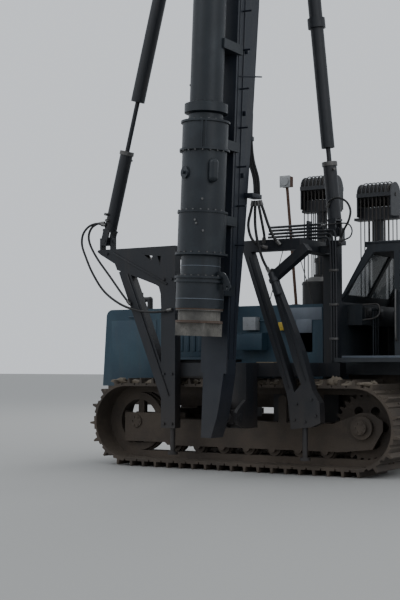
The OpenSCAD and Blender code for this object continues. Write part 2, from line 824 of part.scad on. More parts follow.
module mast_head() {
    zt = mast_len;
    color("#1d232b") on_mast()
        difference() {
            union() {
                for (x = [-110, 80])
                    plate_yz(x, x + 30)
                        polygon([[mast_back, zt], [mast_back + 120, zt + 180], [mast_back + 120, zt + 380],
                            [mast_back, zt + 460], [hammer_y, zt + 460], [hammer_y - 140, zt + 380],
                            [hammer_y - 140, zt + 180], [mast_front - 60, zt], [mast_front - 60, zt]]);
                block([-110, 110], [mast_front, mast_back], [zt + seat_gap, zt + 30]);
                plate_xz(lug_y - eye_t / 2 - lug_gap - 40, lug_y - eye_t / 2 - lug_gap)
                    difference() {
                        union() {
                            polygon([[-front_lug - 60, strut_head - 60], [-front_lug + 60, strut_head - 90],
                                [rear_lug + 70, strut_head - 90], [rear_lug + 90, strut_head],
                                [rear_lug + 60, strut_head + 90], [-front_lug, strut_head + 90],
                                [-front_lug - 90, strut_head + 30]]);
                        }
                        for (x = [-front_lug, rear_lug]) translate([x, strut_head]) circle(31);
                    }
                block([-mast_w / 2, mast_w / 2], [lug_y - 150 + seat_gap, lug_y - eye_t / 2 - lug_gap - 40],
                    [strut_head - 200, strut_head + 200]);
            }
            for (y = [mast_back - 60, hammer_y + 60])
                shaft_x([y, zt + 280], 40 + run_gap, -200, 200);
        }
}

module sheave(r, w) {
    rotate([0, 90, 0]) rotate_extrude()
        polygon([[30, -w / 2], [r, -w / 2], [r - w * 0.35, -w * 0.12], [r - w * 0.35, w * 0.12], [r, w / 2],
            [30, w / 2]]);
}

module head_sheave_pair(y) {
    translate([0, y, mast_len + 280]) {
        for (x = [-38, 38]) translate([x, 0, 0]) sheave(180, 64);
        shaft_x([0, 0], 40, -125, 125);
    }
}

module back_sheaves() {
    color("#3a3d40") on_mast() head_sheave_pair(mast_back - 60);
}

module nose_sheaves() {
    color("#3a3d40") on_mast() head_sheave_pair(hammer_y + 60);
}

neck_r = 246;
skin_r = 278;
band_r = 286;

// Outer profile of the hammer: [height above the foot axis, radius]
hammer_profile = [[1369, 298], [1685, 298], [1685, flange_r - 6], [1712, flange_r - 6], [1712, 300], [1735, 300],
    [1735, flange_r - 6], [1762, flange_r - 6], [1762, neck_r], [2010, neck_r], [2022, flange_r], [2046, flange_r],
    [2046, 299], [2540, 299], [2540, flange_r - 13], [2566, flange_r - 13], [2566, skin_r], [3310, skin_r],
    [3310, flange_r - 13], [3336, flange_r - 13], [3336, band_r], [3660, band_r], [3660, flange_r - 19],
    [3686, flange_r - 19], [3686, 216], [3770, 216], [3790, 270], [3900, 270], [3925, 208], [6150, 208]];

module hammer() {
    color("#2c3844") on_mast() translate([0, hammer_y, 0])
        rotate_extrude($fn = 64)
            difference() {
                polygon(concat([[0, hammer_profile[0][0]]], [for (p = hammer_profile) [p[1], p[0]]],
                    [[0, 6150]]));
                translate([0, 2100]) square([bore_r, 6150]);
            }
}

ram_z0 = 2100;
ram_len = 2700;

module ram() {
    color("#55585b") on_mast() translate([0, hammer_y, 0]) {
        translate([0, 0, ram_z0 + seat_gap]) cylinder(r = bore_r - ram_gap, h = ram_len, $fn = 64);
        translate([0, 0, ram_z0 + ram_len]) cylinder(r = 60, h = 240);
    }
}

// Guide claws: [lower end, upper end, hammer's radius there]
claws = [[1540, 1680, 298], [2420, 2536, 299], [3360, 3480, band_r], [4600, 4720, 208]];

module hammer_claws() {
    half = mast_w / 2 + rail_w;
    g = body_gap;
    y_front = mast_front - seat_gap;
    color("#2c3844") on_mast()
        for (c = claws)
            difference() {
                block([-half - 45, half + 45], [hammer_y, mast_front + rail_w + g + 26], [c[0], c[1]]);
                translate([0, hammer_y, 0]) cylinder(r = c[2] + seat_gap, h = mast_len);
                block([-mast_w / 2 - g, mast_w / 2 + g], [y_front, mast_front + 200], [0, mast_len]);
                block([-half - g, half + g], [y_front, mast_front + rail_w + g], [0, mast_len]);
            }
}

// Fuel pump, round lid, seam bars and catch lug on the hammer's skin
module hammer_fittings() {
    color("#28323c") on_mast() translate([0, hammer_y, 0]) {
        difference() {
            union() {
                rotate(-37) translate([320, 0, 2960]) {
                    cylinder(r = 58, h = 180);
                    sphere(58);
                    translate([0, 0, 180]) sphere(58);
                    translate([-60, -35, 20]) cube([60, 70, 140]);
                }
                rotate(-113) translate([250, 0, 3030]) rotate([0, 90, 0]) {
                    cylinder(r = 75, h = 50);
                    cylinder(r = 20, h = 80);
                }
            }
            cylinder(r = skin_r + seat_gap, h = mast_len);
        }
        difference() {
            for (a = [-66, -57]) rotate(a) block([270, 306], [-9, 9], [3336 + seat_gap, 3660 - seat_gap]);
            cylinder(r = band_r + seat_gap, h = mast_len);
        }
        plate_xz(-14, 14)
            difference() {
                polygon([[neck_r + seat_gap, 1820], [neck_r + seat_gap, 1762 + seat_gap],
                    [flange_r - 6 + seat_gap, 1762 + seat_gap], [flange_r - 6 + seat_gap, 1700], [352, 1660],
                    [352, 1600], [420, 1590], [445, 1630], [425, 1690], [370, 1790], [330, 1820]]);
                translate([400, 1635]) circle(18);
            }
    }
}

module helmet() {
    z = helmet_z0;
    color("#9a978c") on_mast() translate([0, hammer_y, 0]) {
        difference() {
            block([-210, 210], [-210, 210], [z, z + 160]);
            block([-180, 180], [-180, 180], [z - 1, z + 110]);
        }
        translate([0, 0, z + 160]) cylinder(r = 290, h = 28);
        translate([0, 0, z + 188]) cylinder(r = 262, h = 122);
        translate([0, 0, z + 310]) cylinder(r = 292, h = 28);
    }
}

// Struts: the lower tube with its rod stands in a fork on the frame, the upper tube slides on the rod
function mast_point(x, y, z) =
    [pivot_x + x * cos(lean) + z * sin(lean), y, pivot_z - x * sin(lean) + z * cos(lean)];

front_head = mast_point(-front_lug, lug_y, strut_head);
rear_head = mast_point(rear_lug, lug_y, strut_head);
barrel_z = 170;
front_barrel = 1300;
rear_barrel = 920;
rod_hold = 430;

module strut_fork(a, b) {
    translate(a) rotate([strut_roll(a, b), 0, 0]) {
        cube([130, 130, 110], center = true);
        shaft_x([0, 0], 30, -110, 110);
        shaft_y([0, 0], 30, -110, 110);
    }
}

module strut_lower(a, b, end) {
    on_strut(a, b)
        difference() {
            union() {
                for (s = [-1, 1]) translate([-50, s * 90 - 15, -60]) cube([100, 30, 200]);
                translate([-60, -105, barrel_z - 30]) cube([120, 210, 30]);
                translate([0, 0, barrel_z]) cylinder(r = barrel_r, h = end - barrel_z);
            }
            shaft_y([0, 0], 30 + run_gap, -200, 200);
            translate([0, 0, barrel_z + 20]) cylinder(r = barrel_r - 14, h = end - barrel_z - 100);
            translate([0, 0, end - 100]) cylinder(r = rod_r + run_gap, h = 101);
        }
}

module strut_upper(a, b, end, rod, r) {
    length = norm(b - a);
    z0 = end + rod;
    on_strut(a, b)
        difference() {
            union() {
                translate([0, 0, end - rod_hold]) cylinder(r = rod_r, h = rod + rod_hold + 1);
                translate([0, 0, z0]) cylinder(r = r, h = 1600);
                translate([0, 0, z0 + 1600]) cylinder(r = r + 30, h = 130);
                translate([0, 0, z0 + 1730]) cylinder(r = barrel_r, h = length - z0 - 1730 - 160);
                translate([-60, -eye_t / 2, length - 170]) cube([120, eye_t, 170]);
                shaft_y([0, length], 80, -eye_t / 2, eye_t / 2);
            }
            shaft_y([0, length], 31, -eye_t, eye_t);
            translate([0, 0, z0 + 40]) cylinder(r = r - 14, h = 1540);
        }
}

module front_fork() {
    color("#30353b") on_machine() strut_fork(front_foot, front_head);
}

module front_strut_lower() {
    color("#2a2f36") on_machine() strut_lower(front_foot, front_head, front_barrel);
}

module front_strut_upper() {
    color("#232b35") on_machine() strut_upper(front_foot, front_head, front_barrel, front_rod, strut_r);
}

module rear_fork() {
    color("#30353b") on_machine() strut_fork(rear_foot, rear_head);
}

module rear_strut_lower() {
    color("#2a2f36") on_machine() strut_lower(rear_foot, rear_head, rear_barrel);
}

module rear_strut_upper() {
    color("#232b35") on_machine() strut_upper(rear_foot, rear_head, rear_barrel, rear_rod, strut_r - 10);
}

// Rope hoists over the far track: upright cylinders that lift a block of sheaves
hoist_y = 1000;
hoist_xs = [70, 1010];
block_zs = [3795, 3615];
plate_halves = [300, 362];
hoist_rod_z = beam_z1 + 720;
block_w = 550;
block_d = 370;
cage_t = 20;
sheave_count = 8;
sheave_step = (block_w - 2 * cage_t - 6) / sheave_count;

module hoist_barrels() {
    color("#2f3a42") on_machine()
        for (i = [0, 1])
            translate([hoist_xs[i], hoist_y, beam_z1])
                difference() {
                    union() {
                        translate([-130, -100, seat_gap]) cube([260, 200, 30]);
                        translate([0, 0, 30]) cylinder(r = 95, h = 1500);
                        translate([0, 0, 1530]) cylinder(r = 115, h = 70);
                    }
                    translate([0, 0, 200]) cylinder(r = 72 + run_gap, h = 1500);
                }
}

module sheave_cage(i) {
    z = block_zs[i];
    translate([hoist_xs[i], hoist_y, z]) {
        for (x = [-block_w / 2, block_w / 2 - cage_t])
            plate_yz(x, x + cage_t)
                difference() {
                    union() {
                        translate([0, 330]) circle(block_d / 2);
                        translate([-block_d / 2, 0]) square([block_d, 330]);
                    }
                    translate([0, 330]) circle(31 + run_gap);
                }
        block([-plate_halves[i], plate_halves[i]], [-90, 90], [-40, 0]);
        block([-block_w / 2, block_w / 2], [-60, 60], [0, 150]);
        for (y = [-block_d / 2 - 14, block_d / 2])
            block([-block_w / 2, block_w / 2], [y, y + 14], [290, 350]);
        for (k = [1:sheave_count - 1])
            translate([(k - sheave_count / 2) * sheave_step, 0, 0]) plate_yz(-8, 8)
                difference() {
                    translate([0, 330]) circle(block_d / 2 + 14);
                    translate([0, 330]) circle(block_d / 2);
                    translate([-block_d, 0]) square([2 * block_d, 330]);
                }
        translate([0, 0, hoist_rod_z - z]) cylinder(r = 72, h = z - 40 - hoist_rod_z);
    }
}

module front_block() {
    color("#2b3137") on_machine() sheave_cage(0);
}

module rear_block() {
    color("#2b3137") on_machine() sheave_cage(1);
}

module sheave_pack(i) {
    translate([hoist_xs[i], hoist_y, block_zs[i] + 330]) {
        for (k = [0:sheave_count - 1])
            translate([(k + 0.5 - sheave_count / 2) * sheave_step, 0, 0]) sheave(170, sheave_step - 5);
        shaft_x([0, 0], 31, -block_w / 2 - 8, block_w / 2 + 8);
    }
}

module front_sheaves() {
    color("#4a4d50") on_machine() sheave_pack(0);
}

module rear_sheaves() {
    color("#4a4d50") on_machine() sheave_pack(1);
}

module hydraulic_pipes() {
    color("#32373c") on_machine() {
        for (i = [0:4])
            shaft_x([-1290 + i * 14, frame_top + 40 + i * 46], 17, 380, rear_foot[0] - 140, $fn = 16);
        block([980, 1010], [-1320, -1200], [frame_top + seat_gap, frame_top + 270]);
    }
}

// Boxes on the hood's side: [x0, x1, z0, z1, depth]
boxes = [[-480, -70, 1630, 1880, 170], [-500, -180, 1280, 1460, 150], [-165, 110, 1290, 1460, 160],
    [-400, -200, 1920, 2100, 130], [150, 230, 1910, 2020, 90]];

module side_boxes() {
    color("#3f5f78") on_machine()
        for (b = boxes)
            translate([0, -hood_w / 2 - seat_gap, 0]) block([b[0], b[1]], [-b[4], 0], [b[2], b[3]]);
}

module work_lamp() {
    foot = [295, -hood_w / 2 + 180, hood_top + 12];
    head = [150, foot[1], 4050];
    color("#5a4034") on_machine() {
        block([foot[0] - 50, foot[0] + 50], [foot[1] - 40, foot[1] + 40], [hood_top + seat_gap, foot[2] + 2]);
        along(foot, head) cylinder(r = 22, h = norm(head - foot) - 40);
        translate(head) cube([150, 110, 150], center = true);
    }
}

hull();
engine();
hood();
grille();
exhaust();
air_cleaner();
fenders();
cab_floor();
cab_front();
cab_sides();
cab_rear();
cab_roof();
cab_door();
cab_glass();
seat();
levers();
track_left();
track_right();
track_wheels();
rollers();
track_frames();
base_frame();
front_bracket();
rear_bracket();
foot_bracket();
strut_post();
front_jack();
rear_jack();
hoist_barrels();
hydraulic_pipes();
side_boxes();
work_lamp();
mast_cross();
mast();
mast_rails();
mast_pegs();
mast_head();
back_sheaves();
nose_sheaves();
hammer();
hammer_claws();
hammer_fittings();
ram();
helmet();
front_fork();
front_strut_lower();
front_strut_upper();
rear_fork();
rear_strut_lower();
rear_strut_upper();
front_block();
rear_block();
front_sheaves();
rear_sheaves();
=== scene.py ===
import math
import random

import bpy
from mathutils import Matrix, Vector, noise


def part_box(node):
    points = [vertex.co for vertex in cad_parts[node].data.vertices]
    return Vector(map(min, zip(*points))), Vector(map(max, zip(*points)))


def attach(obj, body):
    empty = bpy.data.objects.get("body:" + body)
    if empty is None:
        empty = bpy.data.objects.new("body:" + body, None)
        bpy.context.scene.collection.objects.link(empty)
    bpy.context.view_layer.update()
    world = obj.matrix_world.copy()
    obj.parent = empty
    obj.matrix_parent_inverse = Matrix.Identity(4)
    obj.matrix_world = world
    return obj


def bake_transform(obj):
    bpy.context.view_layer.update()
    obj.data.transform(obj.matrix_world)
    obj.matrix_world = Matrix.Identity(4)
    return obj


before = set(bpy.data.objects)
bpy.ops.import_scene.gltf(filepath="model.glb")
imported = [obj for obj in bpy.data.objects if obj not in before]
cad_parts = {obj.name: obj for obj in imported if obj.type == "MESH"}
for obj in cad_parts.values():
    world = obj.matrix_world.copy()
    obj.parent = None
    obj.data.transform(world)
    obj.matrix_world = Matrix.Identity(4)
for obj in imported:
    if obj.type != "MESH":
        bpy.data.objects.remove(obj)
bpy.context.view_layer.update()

# Camera: a long lens about sixteen metres off the rig's rear corner, at eye
# height and tipped up a little, upright picture. Places below are given with
# X from the middle of the track and Y from the tractor's centre line.
cab_end, track_edge = 2.86, 1.59
shift = Vector((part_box("cab_rear")[1].x - cab_end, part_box("track_left")[0].y + track_edge, 0.0))


def at(x, y, z):
    return Vector((x, y, z)) + shift


lens_data = bpy.data.cameras.new("camera")
lens_data.sensor_fit = "AUTO"
lens_data.sensor_width = 36.0
lens_data.lens = 72.0
lens_data.clip_end = 400.0
camera = bpy.data.objects.new("camera", lens_data)
camera.location = at(8.1825, -15.51, 1.435)
camera.rotation_euler = (math.radians(93.05), 0.0, math.radians(32.0))
bpy.context.scene.collection.objects.link(camera)
bpy.context.scene.camera = camera

# Studio: a plain pale floor under the tracks and soft light from all round,
# with three broad lamps, the strongest of them behind the rig.
bpy.ops.object.select_all(action="DESELECT")
bpy.ops.mesh.primitive_plane_add(size=240.0, location=(0.0, 0.0, -0.002))
floor = bpy.context.object
floor.name = "studio_floor"
floor_paint = bpy.data.materials.new("studio_floor")
floor_paint.use_nodes = True
floor_shader = floor_paint.node_tree.nodes["Principled BSDF"]
floor_shader.inputs["Base Color"].default_value = (0.36, 0.36, 0.35, 1.0)
floor_shader.inputs["Roughness"].default_value = 0.9
floor.data.materials.append(floor_paint)

world = bpy.data.worlds.new("studio_sky")
world.use_nodes = True
sky = world.node_tree.nodes["Background"]
sky.inputs["Color"].default_value = (0.84, 0.88, 0.93, 1.0)
sky.inputs["Strength"].default_value = 0.95
bpy.context.scene.world = world

for lamp_name, spot, turn, size, power in [
    ("key_lamp", (-9.0, -16.0, 17.0), (42.0, 0.0, -28.0), 12.0, 700.0),
    ("fill_lamp", (15.0, -8.0, 10.0), (58.0, 0.0, 62.0), 10.0, 350.0),
    ("rim_lamp", (-4.0, 16.0, 14.0), (-50.0, 0.0, -12.0), 9.0, 900.0),
]:
    lamp_data = bpy.data.lights.new(lamp_name, "AREA")
    lamp_data.energy = power
    lamp_data.size = size
    lamp = bpy.data.objects.new(lamp_name, lamp_data)
    lamp.location = spot
    lamp.rotation_euler = [math.radians(angle) for angle in turn]
    bpy.context.scene.collection.objects.link(lamp)

# Undercarriage: cast links, shoes, wheels and frames, bare of paint, brown
# with mud that is wet and dark low down and dried pale on the upper faces.


def times(tree, first, second):
    # A socket multiplied by another socket or by a number.
    node = tree.nodes.new("ShaderNodeMath")
    node.operation = "MULTIPLY"
    tree.links.new(first, node.inputs[0])
    if isinstance(second, float):
        node.inputs[1].default_value = second
    else:
        tree.links.new(second, node.inputs[1])
    return node.outputs["Value"]


def wear_group():
    # Masks that every finish on the rig shares: broad patches, fine grain, runs
    # down the sides, dust on what faces up and splashes low down.
    tree = bpy.data.node_groups.new("wear_masks", "ShaderNodeTree")
    for label in ("Patches", "Grain", "Runs", "Upward", "Low"):
        tree.interface.new_socket(label, in_out="OUTPUT", socket_type="NodeSocketFloat")
    nodes, links = tree.nodes, tree.links
    out = nodes.new("NodeGroupOutput")
    coord = nodes.new("ShaderNodeTexCoord")

    def speckle(scale, detail, rough, stretch=None):
        texture = nodes.new("ShaderNodeTexNoise")
        texture.inputs["Scale"].default_value = scale
        texture.inputs["Detail"].default_value = detail
        texture.inputs["Roughness"].default_value = rough
        place = coord.outputs["Object"]
        if stretch:
            mapping = nodes.new("ShaderNodeMapping")
            mapping.inputs["Scale"].default_value = stretch
            links.new(place, mapping.inputs["Vector"])
            place = mapping.outputs["Vector"]
        links.new(place, texture.inputs["Vector"])
        return texture.outputs["Fac"]

    def ramp(value, low, high):
        node = nodes.new("ShaderNodeMapRange")
        node.interpolation_type = "SMOOTHSTEP"
        node.inputs["From Min"].default_value = low
        node.inputs["From Max"].default_value = high
        links.new(value, node.inputs["Value"])
        return node.outputs["Result"]

    def height(source):
        split = nodes.new("ShaderNodeSeparateXYZ")
        links.new(source, split.inputs["Vector"])
        return split.outputs["Z"]

    broad = speckle(1.7, 8.0, 0.62)
    fine = speckle(38.0, 9.0, 0.7)
    streaks = speckle(3.2, 6.0, 0.6, (3.6, 3.6, 0.28))
    geometry = nodes.new("ShaderNodeNewGeometry")
    upward = ramp(height(geometry.outputs["Normal"]), 0.25, 0.9)
    low_down = ramp(height(coord.outputs["Object"]), 1.7, 0.2)
    links.new(ramp(broad, 0.42, 0.66), out.inputs["Patches"])
    links.new(fine, out.inputs["Grain"])
    links.new(ramp(streaks, 0.48, 0.72), out.inputs["Runs"])
    links.new(times(tree, upward, ramp(fine, 0.3, 0.62)), out.inputs["Upward"])
    links.new(times(tree, low_down, ramp(broad, 0.25, 0.6)), out.inputs["Low"])
    return tree


wear = wear_group()


def finish(name, paint, second, worn, dust, mud=(0.115, 0.085, 0.06), rough=0.55, metal=0.0,
           patches=0.8, chips=0.5, runs=0.3, dusty=0.6, muddy=0.5, bump=0.25):
    # One weathered finish: paint in two shades, chipped to metal or rust, with
    # runs, dust and mud over it.
    material = bpy.data.materials.new(name)
    material.use_nodes = True
    tree = material.node_tree
    nodes, links = tree.nodes, tree.links
    shader = nodes["Principled BSDF"]
    masks = nodes.new("ShaderNodeGroup")
    masks.node_tree = wear

    def coat(under, mask, colour, share):
        node = nodes.new("ShaderNodeMix")
        node.data_type = "RGBA"
        links.new(times(tree, mask, share), node.inputs["Factor"])
        node.inputs["B"].default_value = (*colour, 1.0)
        if isinstance(under, tuple):
            node.inputs["A"].default_value = (*under, 1.0)
        else:
            links.new(under, node.inputs["A"])
        return node.outputs["Result"]

    edge = nodes.new("ShaderNodeMapRange")
    edge.inputs["From Min"].default_value = 0.56
    edge.inputs["From Max"].default_value = 0.64
    links.new(masks.outputs["Grain"], edge.inputs["Value"])
    chipped = times(tree, edge.outputs["Result"], masks.outputs["Patches"])
    stain = tuple(0.55 * a + 0.45 * b for a, b in zip(worn, second))
    tone = coat(paint, masks.outputs["Patches"], second, patches)
    tone = coat(tone, chipped, worn, chips)
    tone = coat(tone, masks.outputs["Runs"], stain, runs)
    tone = coat(tone, masks.outputs["Upward"], dust, dusty)
    tone = coat(tone, masks.outputs["Low"], mud, muddy)
    links.new(tone, shader.inputs["Base Color"])
    gloss = nodes.new("ShaderNodeMapRange")
    gloss.inputs["To Min"].default_value = max(0.05, rough - 0.16)
    gloss.inputs["To Max"].default_value = min(1.0, rough + 0.25)
    links.new(masks.outputs["Grain"], gloss.inputs["Value"])
    links.new(gloss.outputs["Result"], shader.inputs["Roughness"])
    shader.inputs["Metallic"].default_value = metal
    relief = nodes.new("ShaderNodeBump")
    relief.inputs["Strength"].default_value = bump
    relief.inputs["Distance"].default_value = 0.004
    links.new(masks.outputs["Grain"], relief.inputs["Height"])
    links.new(relief.outputs["Normal"], shader.inputs["Normal"])
    return material


def dress(material, *solids):
    # A finish on CAD solids that keep their shape.
    for name in solids:
        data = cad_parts[name].data
        data.materials.clear()
        data.materials.append(material)


mud_steel = finish("mud_steel", (0.045, 0.036, 0.029), (0.085, 0.067, 0.05), (0.032, 0.027, 0.023),
                   (0.20, 0.17, 0.135), mud=(0.07, 0.053, 0.04), rough=0.75, patches=0.9, chips=0.4,
                   runs=0.2, dusty=0.6, muddy=0.6, bump=0.7)
dress(mud_steel, "track_left", "track_right", "track_wheels", "rollers", "track_frames", "hull")

# Shoe bolts: hexagon heads, four to a shoe, hold each cast shoe to its links;
# one head is modelled and repeated round both loops.
wheel_base, chain_radius, axle_height, shoe_count = 3.54, 0.47, 0.617, 49
bend = math.pi * chain_radius
loop_length = 2 * wheel_base + 2 * bend


def weld(made):
    # Several meshes joined into one piece.
    bpy.context.view_layer.update()
    bpy.ops.object.select_all(action="DESELECT")
    for piece in made:
        piece.select_set(True)
    bpy.context.view_layer.objects.active = made[0]
    if len(made) > 1:
        bpy.ops.object.join()
    return bpy.context.object


def copies(model, places):
    # The model repeated at each matrix, as one piece; the model itself goes.
    made = []
    for place in places:
        again = model.copy()
        again.data = model.data.copy()
        again.matrix_world = place @ model.matrix_world
        bpy.context.scene.collection.objects.link(again)
        made.append(again)
    bpy.data.objects.remove(model)
    return weld(made)


def settle(piece, name, body, material, place=None, smooth=30.0):
    # Names a piece, moves it to its place with its origin left at the frame's
    # origin, and fixes it to the body that carries it.
    piece.name = name
    if place is not None:
        piece.matrix_world = place @ piece.matrix_world
        bpy.context.view_layer.update()
    bpy.ops.object.select_all(action="DESELECT")
    piece.select_set(True)
    bpy.context.view_layer.objects.active = piece
    bpy.ops.object.transform_apply(location=True, rotation=True, scale=True)
    bpy.ops.object.shade_smooth_by_angle(angle=math.radians(smooth))
    piece.data.materials.clear()
    piece.data.materials.append(material)
    if body:
        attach(piece, body)
    return piece


def on_loop(travel, y, outside):
    # Place and tilt on the track's loop, so far along it and outside its pins.
    half, reach = wheel_base / 2, chain_radius + outside
    if travel < wheel_base:
        x, z, angle = travel - half, -reach, 0.0
    elif travel < wheel_base + bend:
        angle = (travel - wheel_base) / chain_radius
        x, z = half + reach * math.sin(angle), -reach * math.cos(angle)
    elif travel < 2 * wheel_base + bend:
        x, z, angle = half - (travel - wheel_base - bend), reach, math.pi
    else:
        angle = math.pi + (travel - 2 * wheel_base - bend) / chain_radius
        x, z = -half + reach * math.sin(angle), -reach * math.cos(angle)
    return Matrix.Translation(at(x, y, z + axle_height)) @ Matrix.Rotation(-angle, 4, "Y")


for side, centre in (("left", -1.14), ("right", 1.14)):
    bpy.ops.object.select_all(action="DESELECT")
    bpy.ops.mesh.primitive_cylinder_add(vertices=6, radius=0.017, depth=0.014, location=(0.0, 0.0, -0.007))
    places = [on_loop(((i + 0.5) * loop_length / shoe_count + step) % loop_length, centre + across, 0.075)
              for i in range(shoe_count) for step in (-0.045, 0.045) for across in (-0.07, 0.07)]
    settle(copies(bpy.context.object, places), "shoe_bolts_" + side, "tractor", mud_steel)

# Dried mud: flat lumps that the shoes carry up and drop on the top run, and
# that lie round the rear bracket's foot.
dry_mud = finish("dry_mud", (0.105, 0.085, 0.062), (0.15, 0.125, 0.095), (0.06, 0.046, 0.034),
                 (0.20, 0.175, 0.14), mud=(0.06, 0.046, 0.035), rough=0.9, dusty=0.5, muddy=0.5, bump=1.0)
rng = random.Random(11)


def lump(size, seed):
    # One lump of mud: a round form pushed in and out by noise.
    bpy.ops.object.select_all(action="DESELECT")
    bpy.ops.mesh.primitive_ico_sphere_add(subdivisions=2, radius=0.5)
    clod = bpy.context.object
    for vertex in clod.data.vertices:
        vertex.co *= 1.0 + 0.75 * noise.noise(vertex.co * 2.4 + Vector((seed, 0.0, 0.0)))
    clod.scale = size
    bpy.ops.object.transform_apply(location=True, rotation=True, scale=True)
    return clod


def heap(name, spots):
    # Lumps at (x, y, z, length, width, height), sunk a little in what they lie on.
    made = []
    for i, (x, y, z, length, width, height) in enumerate(spots):
        clod = lump((length, width, height), i * 1.7 + len(name))
        turn = Matrix.Rotation(rng.uniform(-0.5, 0.5), 4, "Z")
        clod.matrix_world = Matrix.Translation(at(x, y, z + 0.2 * height)) @ turn
        made.append(clod)
    settle(weld(made), name, "tractor", dry_mud, smooth=60.0)


shoe_top, to_far_track = 1.165, 2.83
top_run = [(rng.uniform(-1.95, 2.05), rng.uniform(-1.53, -1.30), shoe_top, rng.uniform(0.10, 0.26),
            rng.uniform(0.07, 0.13), rng.uniform(0.03, 0.095)) for _ in range(110)]
heap("mud_top_left", top_run)
heap("mud_top_right", [(x, to_far_track + y, *rest) for x, y, *rest in top_run[:60]])
heap("mud_foot", [(rng.uniform(1.38, 1.5), rng.uniform(-1.54, -1.45), shoe_top, 0.16, 0.10,
                   rng.uniform(0.08, 0.16)) for _ in range(8)])

# Hub caps: a bolted cap on each final drive and on each idler's axle, cast
# steel caked with mud.


def rod(start, end, radius, sides=12):
    # A round bar from one point to another.
    bpy.ops.object.select_all(action="DESELECT")
    turn = (end - start).to_track_quat("Z", "Y").to_euler()
    bpy.ops.mesh.primitive_cylinder_add(vertices=sides, radius=radius, depth=(end - start).length,
                                        location=(start + end) / 2, rotation=turn)
    return bpy.context.object


for side, outward in (("left", -1.0), ("right", 1.0)):
    parts = []
    for x, y, radius in ((1.77, 1.398, 0.088), (-1.77, 1.30, 0.090)):
        face, bolt_circle = outward * (y + 0.02), 0.7 * radius
        parts.append(rod(at(x, outward * y, axle_height), at(x, face, axle_height), radius, 32))
        for k in range(6):
            angle = k * math.pi / 3
            spot = at(x + bolt_circle * math.cos(angle), face, axle_height + bolt_circle * math.sin(angle))
            parts.append(rod(spot, spot + Vector((0.0, outward * 0.012, 0.0)), 0.013, 6))
    settle(weld(parts), "hub_caps_" + side, "tractor", mud_steel)

# Tractor body: pressed steel sheet in a dark teal blue, dusty on top and grimy
# with oil at the engine.
hood_blue = finish("hood_blue", (0.012, 0.040, 0.066), (0.024, 0.062, 0.088), (0.045, 0.042, 0.04),
                   (0.13, 0.135, 0.135), rough=0.5, chips=0.5, runs=0.35, dusty=0.5, muddy=0.35, bump=0.2)
dress(hood_blue, "hood", "side_boxes")
engine_grime = finish("engine_grime", (0.016, 0.017, 0.020), (0.03, 0.03, 0.03), (0.07, 0.05, 0.04),
                      (0.10, 0.095, 0.085), rough=0.5, metal=0.2, bump=0.5)
dress(engine_grime, "engine", "air_cleaner", "exhaust")

# Hood trim: raised door panels with handles on both sides, louvres, a light
# grey top panel with a flap under it, and the filler cap, screwed to the hood.


def slab(low, high, bevel=0.0):
    # A plate or block between two corners, its edges broken where bevel is given.
    bpy.ops.object.select_all(action="DESELECT")
    bpy.ops.mesh.primitive_cube_add(size=1.0, location=(low + high) / 2)
    bpy.context.object.scale = high - low
    bpy.ops.object.transform_apply(location=True, rotation=True, scale=True)
    if bevel:
        bpy.ops.object.mode_set(mode="EDIT")
        bpy.ops.mesh.select_all(action="SELECT")
        bpy.ops.mesh.bevel(offset=bevel, segments=2, affect="EDGES")
        bpy.ops.object.mode_set(mode="OBJECT")
    return bpy.context.object


for side, outward in (("left", -1.0), ("right", 1.0)):
    parts = []
    skin, grip = outward * 0.479, outward * 0.502
    for x0, x1, z0, z1 in ((-2.82, -1.98, 1.18, 2.10), (-1.92, -0.62, 1.54, 2.10), (-0.56, 0.34, 1.60, 2.0)):
        y0, y1 = sorted((skin, outward * 0.486))
        if side == "right" or x0 < -1.0:
            parts.append(slab(at(x0, y0, z0), at(x1, y1, z1), 0.003))
        handle_z = z1 + 0.05
        for dx in (-0.06, 0.06):
            parts.append(rod(at(x0 + 0.4 + dx, skin, handle_z), at(x0 + 0.4 + dx, grip, handle_z), 0.008))
        parts.append(rod(at(x0 + 0.33, grip, handle_z), at(x0 + 0.47, grip, handle_z), 0.009))
    y0, y1 = sorted((outward * 0.485, outward * 0.497))
    for k in range(10):
        parts.append(slab(at(-1.78 + 0.11 * k, y0, 1.62), at(-1.72 + 0.11 * k, y1, 1.98), 0.005))
    settle(weld(parts), "hood_doors_" + side, "tractor", hood_blue)
grey_sheet = finish("grey_sheet", (0.13, 0.155, 0.19), (0.10, 0.12, 0.15), (0.07, 0.06, 0.05),
                    (0.26, 0.26, 0.25), rough=0.45, muddy=0.0, bump=0.15)
parts = [slab(at(0.24, -0.487, 2.05), at(0.79, -0.4795, 2.225), 0.002),
         slab(at(0.385, -0.489, 1.87), at(0.635, -0.482, 2.06), 0.002)]
settle(weld(parts), "grey_panel", "tractor", grey_sheet)
parts = [rod(at(-1.2, 0.0, 2.27), at(-1.2, 0.0, 2.31), 0.05, 24),
         rod(at(-1.2, 0.0, 2.305), at(-1.2, 0.0, 2.325), 0.065, 24)]
settle(weld(parts), "filler_cap", "tractor", engine_grime)

